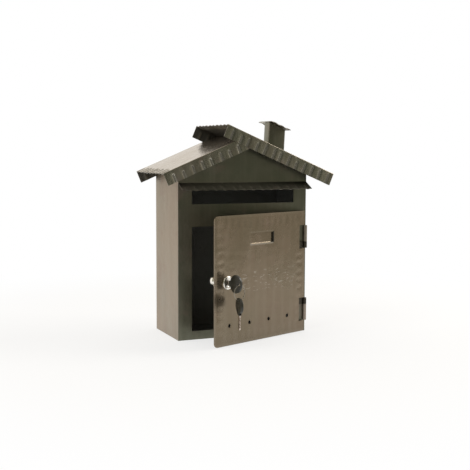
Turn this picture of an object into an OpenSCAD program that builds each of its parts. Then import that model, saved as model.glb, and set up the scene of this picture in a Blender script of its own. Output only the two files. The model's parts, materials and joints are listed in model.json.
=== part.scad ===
// House-shaped sheet steel mailbox: a folded box under a two-sheet gable roof,
// with a hinged door, a cam lock, its key and a spare key on a ring.
// Millimetres. X runs to the right, Y to the back, Z up. The origin is the middle of the
// box's underside. The door is drawn open by door_rest.

/* [Box] */
// Width of the box over its side walls
body_w = 240; // [200:1:300]
// Depth of the box from front face to back face
body_d = 118; // [100:1:150]
// Height of the front up to the bend of the drip hood
front_h = 267; // [255:1:320]
// Height of the roof's top face above that bend, over the outer face of the left wall
gable_side_h = 30; // [27:0.1:50]
// Sheet thickness of the box, gable and roof
sheet_t = 0.8; // [0.6:0.1:1.2]
// Height of the turned-up edges of the floor pan
floor_flange = 12; // [6:1:20]
// Width of the box edges that are turned in, at the front and under the roof
box_flange = 12; // [6:1:18]

/* [Front] */
// Width of the front sheet left beside the mail slot and the door opening
border_w = 24.5; // [20:0.5:40]
// Height of the door opening's lower edge
opening_z = 14.8; // [13:0.1:25]
// Height of the door opening
opening_h = 178.3; // [160:0.1:190]
// Distance of the mail slot's upper edge below the bend of the drip hood
slot_under = 9; // [4:1:14]
// Height of the mail slot
slot_h = 27; // [18:1:34]

/* [Gable and drip hood] */
// Reach of the drip hood in front of the box
hood_reach = 22.9; // [15:0.1:30]
// Drop of the drip hood from its bend to its lip
hood_drop = 11.3; // [6:0.1:16]
// Height that the front sheet runs up behind the gable
gable_lap = 8; // [4:1:12]

/* [Roof] */
// Slope of both roof sheets
roof_slope = 22.7; // [18:0.1:28]
// Offset of the ridge line to the right of the box's middle
ridge_x = 3.85; // [0:0.05:10]
// Reach of the left eave past the left wall
eave_left = 31.4; // [20:0.1:45]
// Reach of the right eave past the right wall
eave_right = 45.6; // [20:0.1:60]
// Run of the right sheet past the ridge, along its slope
ridge_over = 43.6; // [10:0.1:60]
// Reach of the roof in front of the box
roof_front = 18; // [10:0.1:22]
// Reach of the roof behind the box
roof_back = 15.7; // [5:0.1:22]
// Height of the fascias, square to the slope
fascia_h = 22.2; // [12:0.1:24]
// Gap between the fascias of the left sheet and those of the right sheet
fascia_gap = 0.2; // [0.1:0.1:1]

/* [Chimney] */
// Width of the chimney tube
chimney_w = 32.5; // [20:0.5:45]
// Depth of the chimney tube
chimney_d = 22; // [14:1:40]
// Height of the chimney tube over the roof
chimney_h = 51; // [30:1:60]
// Distance of the chimney's foot to the right of the box's middle
chimney_x = 84; // [60:1:110]
// Lean of the chimney tube to the right
chimney_lean = 3; // [0:0.5:5]
// Reach of the chimney cap past the tube, down the slope and up it
cap_side = 3.2; // [1:0.1:8]
// Reach of the chimney cap past the tube, to the front and the back
cap_end = 17.5; // [4:0.5:20]
// Height of the waves beaten into the chimney cap
cap_wave = 1.1; // [0:0.1:2]
// Length of one wave of the chimney cap
cap_pitch = 14.5; // [8:0.5:20]

/* [Door] */
// Overlap of the door's free edge past the side of the door opening
door_lap = 6.8; // [3:0.1:12]
// Overlap of the door above the door opening
door_lap_top = 22.9; // [5:0.1:24]
// Height of the door's lower edge
door_z = 1; // [0.5:0.1:4]
// Thickness of the door sheet
door_t = 1; // [0.8:0.1:1.5]
// Radius of the door's free corners
door_corner = 8; // [2:0.5:16]
// Angle by which the door is drawn open
door_rest = 21.1; // [0:0.1:90]
// Radius of the vent holes
vent_r = 3.2; // [1.5:0.1:4]
// Spacing of the vent holes
vent_pitch = 46.7; // [30:0.1:50]
// Distance of the middle of the vent holes from the middle of the door, to the free edge
vent_shift = 6; // [0:0.5:10]
// Height of the vent holes above the door's lower edge
vent_up = 33; // [20:1:42]
// Width of the pressed card recess
card_w = 57; // [40:1:80]
// Height of the pressed card recess
card_h = 21.5; // [15:0.5:30]
// Depth of the pressed card recess
card_depth = 2.5; // [1:0.1:4]
// Distance of the middle of the card recess below the door's upper edge
card_down = 40.7; // [38:0.1:60]

/* [Hinges] */
// Radius of the hinge knuckles
knuckle_r = 3; // [2.5:0.1:4]
// Radius of the hinge pins
pin_r = 1.5; // [1:0.1:1.8]
// Running clearance of a pin in a knuckle, on the radius
pin_clear = 0.05; // [0.02:0.01:0.1]
// Distance of the hinge axis inside the outer face of the right wall
hinge_in = 1.8; // [1.5:0.1:2.5]
// Gap between the door's knuckles and the front of the box
hinge_gap = 0.3; // [0.3:0.1:1]
// Length of the long knuckles on the box
knuckle_long = 28.4; // [20:0.1:36]
// Length of the short knuckles on the door
knuckle_short = 11; // [8:0.1:14]
// Gap between a long and a short knuckle
knuckle_gap = 0.5; // [0.3:0.1:1]
// Distance of the lower hinge above the door's lower edge
hinge_up = 19.4; // [10:0.1:40]
// Distance of the upper hinge below the door's upper edge
hinge_down = 26; // [10:1:40]
// Depth of the hinge leaves on the right wall
leaf_d = 24; // [15:1:40]
// Thickness of the hinge leaves and straps
leaf_t = 1; // [0.8:0.1:1.1]
// Width of the door's notch beside a hinge, from the hinge axis
notch_w = 15.3; // [10:0.1:20]

/* [Lock] */
// Distance of the lock's axis from the door's free edge
lock_in = 29.5; // [27:0.5:36]
// Height of the lock
lock_z = 106; // [80:1:140]
// Radius of the lock's front rim
rim_r = 11.2; // [10:0.1:14]
// Thickness of the lock's front rim
rim_t = 2.6; // [1.5:0.1:4]
// Radius of the lock barrel
barrel_r = 9; // [8:0.1:9.5]
// Length of the lock barrel behind the door's front face
barrel_len = 33; // [20:1:40]
// Radius of the lock plug
plug_r = 6; // [5.5:0.1:7]
// Running clearance of the plug in its barrel, on the radius
plug_clear = 0.05; // [0.02:0.01:0.1]
// Width over the flats of the lock nut
nut_af = 24; // [22:1:28]
// Thickness of the lock nut
nut_t = 3; // [2:0.5:5]
// Thickness of the cam
cam_t = 1.5; // [1:0.1:2.5]
// Width of the cam's arm
cam_w = 11; // [8:1:13]
// Overlap of the locked cam behind the strike edge
cam_catch = 6.5; // [3:0.5:10]
// Gap between the cam and the end of the barrel
cam_gap = 0.4; // [0.3:0.1:1]
// Gap between the strike edge and the cam that passes behind it
strike_gap = 0.6; // [0.4:0.1:2]

/* [Keys] */
// Thickness of a key blade
blade_t = 2; // [1.5:0.1:2.5]
// Width of a key blade
blade_w = 7; // [6:0.1:8]
// Length of a key blade from the shoulder
blade_len = 24.5; // [20:0.5:26]
// Clearance of the blade in the keyway, on each side
keyway_clear = 0.3; // [0.2:0.05:0.5]
// Width of a key head
head_w = 30; // [28:1:32]
// Length of the round part of a key head
head_l = 25.5; // [18:0.5:27]
// Length of a key head from its shoulder to its end
head_len = 28.5; // [27.5:0.5:32]
// Thickness of a key head
head_t = 4.5; // [4:0.1:5.5]
// Radius of the ring hole in a key head
eye_r = 2.6; // [2.6:0.1:3.4]
// Distance from the ring hole's middle to the end of the key head
eye_edge = 4.8; // [4.6:0.1:6.5]
// Gap between the key's shoulder and the lock plug
shoulder_gap = 1.8; // [0.5:0.1:4]
// Radius of the key ring, to the middle of its wire
ring_r = 12; // [12:0.5:18]
// Radius of the key ring's wire
wire_r = 0.6; // [0.5:0.1:1]
// Twist of the hanging spare key away from the lock key's plane
spare_twist = 27; // [0:1:28]

/* [Fixing] */
// Radius of the fixing holes in the back
fix_r = 2.5; // [2:0.1:4]
// Spacing of the fixing holes across the back
fix_x = 150; // [100:5:180]
// Spacing of the fixing holes up the back
fix_z = 140; // [100:5:150]
// Height of the middle of the fixing holes
fix_mid_z = 135; // [120:5:140]

/* [Hidden] */
$fn = 48;

// Colours
box_paint = [0.24, 0.24, 0.20];
roof_paint = [0.31, 0.30, 0.26];
door_paint = [0.45, 0.40, 0.33];
bright_metal = [0.78, 0.77, 0.74];
key_plastic = [0.20, 0.19, 0.15];

// Margin by which a cutting solid passes the faces that it cuts
cut = 1;
// Margin by which a tapered cut passes a face, small enough to keep its width there
skim = 0.01;
// Depth by which the parts of one piece run into each other
lap = 0.1;
// Larger than the whole mailbox
far = 600;

// Roof lines
bend_z = front_h;
eave_z = front_h + gable_side_h;
slope_t = sheet_t / cos(roof_slope);
ridge_z = eave_z + (body_w / 2 + ridge_x) * tan(roof_slope);
left_run = (body_w / 2 + eave_left + ridge_x) / cos(roof_slope);
right_run = (body_w / 2 + eave_right - ridge_x) / cos(roof_slope);
under_left_z = eave_z - slope_t;
under_ridge_z = ridge_z - slope_t;
under_right_z = ridge_z - (body_w / 2 - ridge_x) * tan(roof_slope) - slope_t;

// Chimney foot's run down the slope, and the height of its top square to the slope
chimney_run = (chimney_x - ridge_x) / cos(roof_slope);
chimney_rise = chimney_h * cos(roof_slope);

// Openings in the front
opening_w = body_w - 2 * border_w;
slot_z = bend_z - slot_under - slot_h;

// Hinge axis, and the door laid out from it over the door opening
hinge_x = body_w / 2 - hinge_in;
hinge_y = -body_d / 2 - knuckle_r - hinge_gap;
door_w = hinge_x + opening_w / 2 + door_lap;
door_h = opening_z + opening_h + door_lap_top - door_z;
door_edge = knuckle_r - 1;
card_z = door_z + door_h - card_down;
vent_z = door_z + vent_up;

// Hinges, and the clear space of a door notch above and below each
hinge_h = knuckle_long + knuckle_gap + knuckle_short;
hinge_low_z = door_z + hinge_up;
hinge_high_z = door_z + door_h - hinge_down;
notch_gap = 0.8;

// Straps: the length that lies on the door sheet past the notch
strap_len = 22;

// Lock: the strike edge ends just in front of the cam
lock_a = door_w - lock_in;
cam_y = barrel_len + cam_gap;
strike_depth = hinge_y + cam_y - strike_gap + body_d / 2;
cam_reach = hinge_x + opening_w / 2 + sheet_t - lock_a + cam_catch;
hub_r = plug_r + 1;
barrel_clear = 0.2;
nut_clear = 0.05;
tail_w = 7;
tail_clear = 0.1;
plug_inset = 0.4;
screw_r = 1.7;
screw_clear = 0.05;
screw_len = 7;
screw_room = 0.5;
screw_head_r = 4;
screw_head_t = 2.2;

// Keys: the ring hangs in the lock key's eye, and the spare key on the ring
shoulder_y = rim_t - plug_inset + shoulder_gap;
tang_len = 9;
tang_w = 5;
neck_w = 9;
shoulder_w = 8;
tip_room = 1.5;
bites = [1.4, 2.2, 1.0, 1.8, 1.2];
first_bite = 5;
last_bite = 2;
bite_rise = 0.6;
eye_y = shoulder_y + head_len - eye_edge;
ring_gap = 0.6;
spare_gap = 1;
ring_drop = eye_r - wire_r - ring_gap;
spare_drop = eye_r - wire_r - spare_gap;
ring_top_z = lock_z - ring_drop;
ring_low_z = ring_top_z - 2 * ring_r;

module roof_frame_right() {
    // X runs down the right slope from the ridge, Z is square to the slope
    translate([ridge_x, 0, ridge_z]) rotate([0, roof_slope, 0]) children();
}

module roof_frame_left() {
    // X runs up the left slope to the ridge, Z is square to the slope
    translate([ridge_x, 0, ridge_z]) rotate([0, -roof_slope, 0]) children();
}

module across_y(y0, y1) {
    // Draws an X-Z outline as a plate from y0 to y1
    translate([0, y1, 0]) rotate([90, 0, 0]) linear_extrude(height = y1 - y0) children();
}

module gable_outline(low_z) {
    // The front or back of the box, from low_z up to the underside of the roof
    polygon([
        [-body_w / 2, low_z], [body_w / 2, low_z], [body_w / 2, under_right_z],
        [ridge_x, under_ridge_z], [-body_w / 2, under_left_z]
    ]);
}

module wall_outline(side, top_z) {
    // A side wall and its edge turned in under the roof; side is -1 on the left, 1 on the right
    w = body_w / 2;
    run = w - box_flange * cos(roof_slope);
    rise = box_flange * sin(roof_slope);
    polygon([
        [side * w, 0], [side * w, top_z], [side * run, top_z + rise],
        [side * (run - sheet_t * sin(roof_slope)), top_z + rise - sheet_t * cos(roof_slope)],
        [side * (w - sheet_t), top_z + sheet_t * tan(roof_slope) - slope_t], [side * (w - sheet_t), 0]
    ]);
}

module body_wrap() {
    // Side walls and back folded from one sheet, with edges turned in under the roof
    front_y = -body_d / 2 + sheet_t;
    back_y = body_d / 2 - sheet_t;
    color(box_paint) difference() {
        union() {
            across_y(front_y, back_y + sheet_t / 2) wall_outline(-1, under_left_z);
            across_y(front_y, back_y + sheet_t / 2) wall_outline(1, under_right_z);
            across_y(back_y, body_d / 2) gable_outline(0);
        }
        for (x = [-fix_x / 2, fix_x / 2], z = [-fix_z / 2, fix_z / 2])
            translate([x, back_y - cut, fix_mid_z + z]) rotate([-90, 0, 0])
                cylinder(r = fix_r, h = sheet_t + 2 * cut);
    }
}

module floor_pan() {
    // Floor with its four edges turned up inside the walls
    w = body_w - 2 * sheet_t;
    d = body_d - 2 * sheet_t;
    color(box_paint) difference() {
        translate([-w / 2, -d / 2, 0]) cube([w, d, floor_flange]);
        translate([-w / 2 + sheet_t, -d / 2 + sheet_t, sheet_t])
            cube([w - 2 * sheet_t, d - 2 * sheet_t, floor_flange]);
    }
}

module front_panel() {
    // Front sheet with the mail slot and the door opening
    front_y = -body_d / 2;
    side_x = body_w / 2 - sheet_t;
    return_z = floor_flange + cut;
    color(box_paint) union() {
        difference() {
            translate([-body_w / 2, front_y, 0]) cube([body_w, sheet_t, bend_z + gable_lap]);
            translate([-opening_w / 2, front_y - cut, slot_z])
                cube([opening_w, sheet_t + 2 * cut, slot_h]);
            translate([-opening_w / 2, front_y - cut, opening_z])
                cube([opening_w, sheet_t + 2 * cut, opening_h]);
        }
        // Edges turned in along the side walls
        for (x = [-side_x, side_x - sheet_t])
            translate([x, front_y + sheet_t / 2, return_z])
                cube([sheet_t, box_flange, bend_z - return_z]);
        // Strike edge that the locked cam reaches behind
        translate([-opening_w / 2 - sheet_t, front_y + sheet_t / 2, opening_z])
            cube([sheet_t, strike_depth - sheet_t / 2, opening_h]);
    }
}

module gable_hood() {
    // Gable sheet lapped over the front, bent out below into the drip hood
    front_y = -body_d / 2;
    hood_angle = atan2(hood_drop, hood_reach);
    hood_t = sheet_t / cos(hood_angle);
    color(box_paint) union() {
        across_y(front_y - sheet_t, front_y) gable_outline(bend_z);
        translate([-body_w / 2, 0, 0]) rotate([90, 0, 90]) linear_extrude(height = body_w)
            polygon([
                [front_y, bend_z], [front_y, bend_z - hood_t],
                [front_y - hood_reach, bend_z - hood_drop - hood_t / 2],
                [front_y - hood_reach, bend_z - hood_drop + hood_t / 2],
                [front_y - sheet_t, bend_z + hood_t / 2]
            ]);
    }
}

module roof_sheet(x0, x1, y0, y1) {
    // A roof sheet with a fascia folded down along its front and its back
    translate([x0, y0, -sheet_t]) cube([x1 - x0, y1 - y0, sheet_t]);
    for (y = [y0, y1 - sheet_t])
        translate([x0, y, -fascia_h]) cube([x1 - x0, sheet_t, fascia_h]);
}

module roof_left() {
    // The left sheet ends under the right sheet, inside its fascias
    inset = sheet_t + fascia_gap;
    color(roof_paint) difference() {
        roof_frame_left()
            roof_sheet(-left_run, 0, -body_d / 2 - roof_front + inset, body_d / 2 + roof_back - inset);
        roof_frame_right() translate([-far / 2, -far / 2, -sheet_t]) cube(far);
    }
}

module roof_right() {
    // The right sheet runs on past the ridge, over the left sheet
    color(roof_paint) roof_frame_right()
        roof_sheet(-ridge_over, right_run, -body_d / 2 - roof_front, body_d / 2 + roof_back);
}

module leaning_block(w, d) {
    // A tall block around the leaning axis of the chimney
    roof_frame_right() translate([chimney_run, 0, 0]) rotate([0, chimney_lean - roof_slope, 0])
        translate([-w / 2, -d / 2, -far / 2]) cube([w, d, far]);
}

module chimney_tube() {
    // Square tube cut along the slope at its foot and its top
    color(box_paint) intersection() {
        difference() {
            leaning_block(chimney_w, chimney_d);
            leaning_block(chimney_w - 2 * sheet_t, chimney_d - 2 * sheet_t);
        }
        roof_frame_right() translate([0, -far / 2, 0]) cube([far / 2, far, chimney_rise]);
    }
}

module chimney_cap() {
    // Beaten strip laid on the tube, waved down the slope
    tilt = chimney_lean - roof_slope;
    mid_run = chimney_run + chimney_rise * tan(tilt);
    half = chimney_w / cos(tilt) / 2 + cap_side;
    step = cap_pitch / 8;
    low = [for (x = [-half:step:half]) [x, cap_wave * (1 - cos(360 * x / cap_pitch)) / 2]];
    high = [for (i = [len(low) - 1:-1:0]) low[i] + [0, sheet_t]];
    color(roof_paint) roof_frame_right() translate([mid_run, 0, chimney_rise])
        across_y(-chimney_d / 2 - cap_end, chimney_d / 2 + cap_end) polygon(concat(low, high));
}

module box_leaf(low_z) {
    // Long knuckle with its leaf on the outside of the right wall, from low_z up
    color(box_paint) difference() {
        union() {
            translate([hinge_x, hinge_y, low_z]) cylinder(r = knuckle_r, h = knuckle_long);
            translate([body_w / 2, hinge_y, low_z]) cube([leaf_t, leaf_d, knuckle_long]);
        }
        translate([hinge_x, hinge_y, low_z - cut])
            cylinder(r = pin_r + pin_clear, h = knuckle_long + 2 * cut);
    }
}

module hinge_pin(low_z) {
    // Pin through both knuckles, just short of their outer ends
    pin_inset = 0.5;
    color(bright_metal) translate([hinge_x, hinge_y, low_z + pin_inset])
        cylinder(r = pin_r, h = hinge_h - 2 * pin_inset);
}

module upper_box_leaf() {
    box_leaf(hinge_high_z - knuckle_long);
}

module lower_box_leaf() {
    box_leaf(hinge_low_z);
}

module upper_hinge_pin() {
    hinge_pin(hinge_high_z - hinge_h);
}

module lower_hinge_pin() {
    hinge_pin(hinge_low_z);
}

module on_door() {
    // Door frame: X runs back along the door to the hinge axis at 0, Y into the box
    translate([hinge_x, hinge_y, 0]) rotate([0, 0, door_rest]) children();
}

module door_outline() {
    // Door sheet with round free corners and a notch beside each hinge
    r = door_corner;
    notch_h = hinge_h + 2 * notch_gap;
    difference() {
        union() {
            translate([-door_w + r, door_z]) square([door_w - r - door_edge, door_h]);
            translate([-door_w, door_z + r]) square([door_w - door_edge, door_h - 2 * r]);
            for (z = [door_z + r, door_z + door_h - r]) translate([-door_w + r, z]) circle(r);
        }
        for (z = [hinge_low_z, hinge_high_z - hinge_h])
            translate([-notch_w, z - notch_gap]) square([notch_w, notch_h]);
    }
}

module recess_block(w, h, depth, inset) {
    // Block that narrows by inset on every side as it goes back
    rotate([-90, 0, 0])
        linear_extrude(height = depth, scale = [(w - 2 * inset) / w, (h - 2 * inset) / h], slices = 1)
            square([w, h], center = true);
}

module door_panel() {
    // Door sheet with the lock hole, four vent holes and the pressed card recess
    hole_r = barrel_r + barrel_clear;
    card_x = -door_w / 2;
    vents = 4;
    color(door_paint) on_door() difference() {
        union() {
            across_y(0, door_t) door_outline();
            translate([card_x, 0, card_z])
                recess_block(card_w + 2 * door_t, card_h + 2 * door_t, card_depth + door_t, card_depth);
        }
        translate([card_x, -skim, card_z]) recess_block(card_w, card_h, card_depth + skim, card_depth);
        translate([-lock_a, -cut, lock_z]) rotate([-90, 0, 0]) cylinder(r = hole_r, h = door_t + 2 * cut);
        for (i = [0:vents - 1])
            translate([card_x - vent_shift + (i - (vents - 1) / 2) * vent_pitch, -cut, vent_z])
                rotate([-90, 0, 0]) cylinder(r = vent_r, h = door_t + 2 * cut);
    }
}

module door_strap(low_z) {
    // Short knuckle with a stepped strap that lies on the back of the door sheet
    step_x = notch_w + 1;
    strap_w = notch_w + strap_len;
    back_y = door_t + leaf_t - lap;
    color(door_paint) on_door() translate([0, 0, low_z]) difference() {
        union() {
            cylinder(r = knuckle_r, h = knuckle_short);
            translate([-step_x, back_y, 0]) cube([step_x, leaf_t, knuckle_short]);
            translate([-strap_w, door_t, 0]) cube([strap_w - notch_w, leaf_t, knuckle_short]);
        }
        translate([0, 0, -cut]) cylinder(r = pin_r + pin_clear, h = knuckle_short + 2 * cut);
    }
}

module upper_door_strap() {
    door_strap(hinge_high_z - hinge_h);
}

module lower_door_strap() {
    door_strap(hinge_low_z + knuckle_long + knuckle_gap);
}

module at_lock() {
    // Lock frame: Z runs into the box, X to the hinge, Y down. The door's face is at 0
    on_door() translate([-lock_a, 0, lock_z]) rotate([-90, 0, 0]) children();
}

module lock_barrel() {
    // Barrel with a domed front rim, bored for the plug
    dome = rim_t * 0.6;
    color(bright_metal) at_lock() difference() {
        union() {
            cylinder(r = barrel_r, h = barrel_len);
            translate([0, 0, -rim_t + dome]) cylinder(r = rim_r, h = rim_t - dome);
            translate([0, 0, -rim_t]) cylinder(r1 = rim_r - 2, r2 = rim_r, h = dome);
        }
        translate([0, 0, -rim_t - cut]) cylinder(r = plug_r + plug_clear, h = rim_t + barrel_len + 2 * cut);
    }
}

module lock_nut() {
    // Hexagon nut that clamps the barrel from behind the door
    color(bright_metal) at_lock() translate([0, 0, door_t]) difference() {
        cylinder(r = nut_af / 2 / cos(30), h = nut_t, $fn = 6);
        translate([0, 0, -cut]) cylinder(r = barrel_r + nut_clear, h = nut_t + 2 * cut);
    }
}

module lock_plug() {
    // Plug with its keyway in front and a square tail for the cam behind
    front = -rim_t + plug_inset;
    tail_end = cam_y + cam_t - tail_clear;
    keyway_end = blade_len - shoulder_y + tip_room;
    slot_t = blade_t + 2 * keyway_clear;
    slot_w = blade_w + 2 * keyway_clear;
    hole_len = screw_len + screw_room;
    color(bright_metal) at_lock() difference() {
        union() {
            translate([0, 0, front]) cylinder(r = plug_r, h = barrel_len - front);
            translate([-tail_w / 2, -tail_w / 2, barrel_len - cut])
                cube([tail_w, tail_w, tail_end - barrel_len + cut]);
        }
        translate([-slot_t / 2, -slot_w / 2, front - cut]) cube([slot_t, slot_w, keyway_end - front + cut]);
        translate([0, 0, tail_end - hole_len]) cylinder(r = screw_r + screw_clear, h = hole_len + cut);
    }
}

module lock_cam() {
    // Flat cam on the plug's tail, pointing to the hinge while unlocked
    hole_w = tail_w + 2 * tail_clear;
    color(bright_metal) at_lock() translate([0, 0, cam_y]) difference() {
        union() {
            cylinder(r = hub_r, h = cam_t);
            translate([0, -cam_w / 2, 0]) cube([cam_reach - cam_w / 2, cam_w, cam_t]);
            translate([cam_reach - cam_w / 2, 0, 0]) cylinder(r = cam_w / 2, h = cam_t);
        }
        translate([-hole_w / 2, -hole_w / 2, -cut]) cube([hole_w, hole_w, cam_t + 2 * cut]);
    }
}

module cam_screw() {
    // Screw that holds the cam on the plug's tail
    color(bright_metal) at_lock() translate([0, 0, cam_y + cam_t]) {
        translate([0, 0, -screw_len]) cylinder(r = screw_r, h = screw_len + lap);
        cylinder(r1 = screw_head_r, r2 = screw_head_r - 1, h = screw_head_t);
    }
}

module blade_shape() {
    // Key blade with bites along one edge. Z runs from the shoulder to the tip
    pitch = (blade_len - first_bite - last_bite) / len(bites);
    difference() {
        union() {
            translate([-blade_t / 2, -blade_w / 2, 0]) cube([blade_t, blade_w, blade_len - blade_w / 2]);
            translate([-blade_t / 2, 0, blade_len - blade_w / 2]) rotate([0, 90, 0])
                cylinder(r = blade_w / 2, h = blade_t);
            translate([-blade_t / 2, -tang_w / 2, -tang_len]) cube([blade_t, tang_w, tang_len + cut]);
        }
        for (i = [0:len(bites) - 1])
            translate([0, blade_w / 2 + bite_rise, first_bite + i * pitch]) rotate([0, 90, 0])
                cylinder(r = bites[i] + bite_rise, h = blade_t + 2 * cut, center = true, $fn = 4);
    }
}

module head_plate() {
    // Draws a Y-Z outline as a plate of the key head's thickness
    rotate([90, 0, 90]) translate([0, 0, -head_t / 2]) linear_extrude(height = head_t) children();
}

module head_shape() {
    // Moulded key head with its ring hole and a pocket for the blade's tang
    r = head_l / 2;
    mid = -head_len + r;
    difference() {
        union() {
            head_plate() translate([-head_w / 2 + r, mid - r]) square([head_w - head_l, head_l]);
            for (y = [-1, 1]) head_plate() translate([y * (head_w / 2 - r), mid]) circle(r);
            head_plate() polygon([
                [-shoulder_w / 2, 0], [shoulder_w / 2, 0], [neck_w / 2, mid], [-neck_w / 2, mid]
            ]);
        }
        translate([0, 0, -head_len + eye_edge]) rotate([0, 90, 0])
            cylinder(r = eye_r, h = head_t + 2 * cut, center = true);
        translate([-blade_t / 2, -tang_w / 2, -tang_len]) cube([blade_t, tang_w, tang_len + cut]);
    }
}

module in_lock() {
    // Place of the key in the lock
    at_lock() translate([0, 0, -shoulder_y]) children();
}

module on_ring() {
    // Place of the spare key, which hangs from the ring by its eye
    on_door() translate([-lock_a, -eye_y, ring_low_z - spare_drop])
        rotate([0, 0, -spare_twist]) rotate([180, 0, 0])
            translate([0, 0, head_len - eye_edge]) children();
}

module key_blade() {
    color(bright_metal) in_lock() blade_shape();
}

module key_head() {
    color(key_plastic) in_lock() head_shape();
}

module key_ring() {
    // Wire ring, hanging square to the lock key's head
    color(bright_metal) on_door() translate([-lock_a, -eye_y, ring_top_z - ring_r]) rotate([90, 0, 0])
        rotate_extrude() translate([ring_r, 0]) circle(wire_r, $fn = 24);
}

module spare_key_blade() {
    color(bright_metal) on_ring() blade_shape();
}

module spare_key_head() {
    color(key_plastic) on_ring() head_shape();
}

body_wrap();
floor_pan();
front_panel();
gable_hood();
roof_left();
roof_right();
chimney_tube();
chimney_cap();
upper_box_leaf();
lower_box_leaf();
upper_hinge_pin();
lower_hinge_pin();
door_panel();
upper_door_strap();
lower_door_strap();
lock_barrel();
lock_nut();
lock_plug();
lock_cam();
cam_screw();
key_blade();
key_head();
key_ring();
spare_key_blade();
spare_key_head();
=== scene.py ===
"""House-shaped sheet steel mailbox with hammered edges, a cam lock and two keys.

Each sub-assembly is a class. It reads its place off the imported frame, models the pieces
that the frame holds only plainly, and dresses all its pieces. Lengths are in metres.
"""

import json
import logging
import math
import random
from collections.abc import Callable, Sequence
from dataclasses import dataclass, field
from enum import Enum

import bmesh
import bpy
from mathutils import Matrix, Vector


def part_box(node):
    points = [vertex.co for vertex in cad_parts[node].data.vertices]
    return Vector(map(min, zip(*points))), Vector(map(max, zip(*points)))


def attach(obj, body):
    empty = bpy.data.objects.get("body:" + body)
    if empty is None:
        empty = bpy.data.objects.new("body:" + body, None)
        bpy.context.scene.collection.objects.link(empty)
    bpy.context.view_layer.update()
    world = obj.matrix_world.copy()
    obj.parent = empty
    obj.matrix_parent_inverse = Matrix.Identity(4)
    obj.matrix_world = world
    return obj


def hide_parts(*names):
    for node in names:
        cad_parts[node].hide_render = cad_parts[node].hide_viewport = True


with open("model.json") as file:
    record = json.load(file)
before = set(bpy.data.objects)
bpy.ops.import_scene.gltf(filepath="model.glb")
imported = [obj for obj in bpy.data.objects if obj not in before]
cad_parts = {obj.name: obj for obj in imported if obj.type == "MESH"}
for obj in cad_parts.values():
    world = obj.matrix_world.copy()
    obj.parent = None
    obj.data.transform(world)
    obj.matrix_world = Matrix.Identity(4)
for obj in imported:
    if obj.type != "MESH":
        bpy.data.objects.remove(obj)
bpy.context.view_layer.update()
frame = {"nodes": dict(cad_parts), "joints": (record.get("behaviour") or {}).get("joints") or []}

LOG = logging.getLogger("mailbox")
UP = Vector((0, 0, 1))
RIGHT = Vector((1, 0, 0))
BACK = Vector((0, 1, 0))

Test = Callable[[Vector], bool]


# ---------------------------------------------------------------------------
# Modelling
# ---------------------------------------------------------------------------


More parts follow.
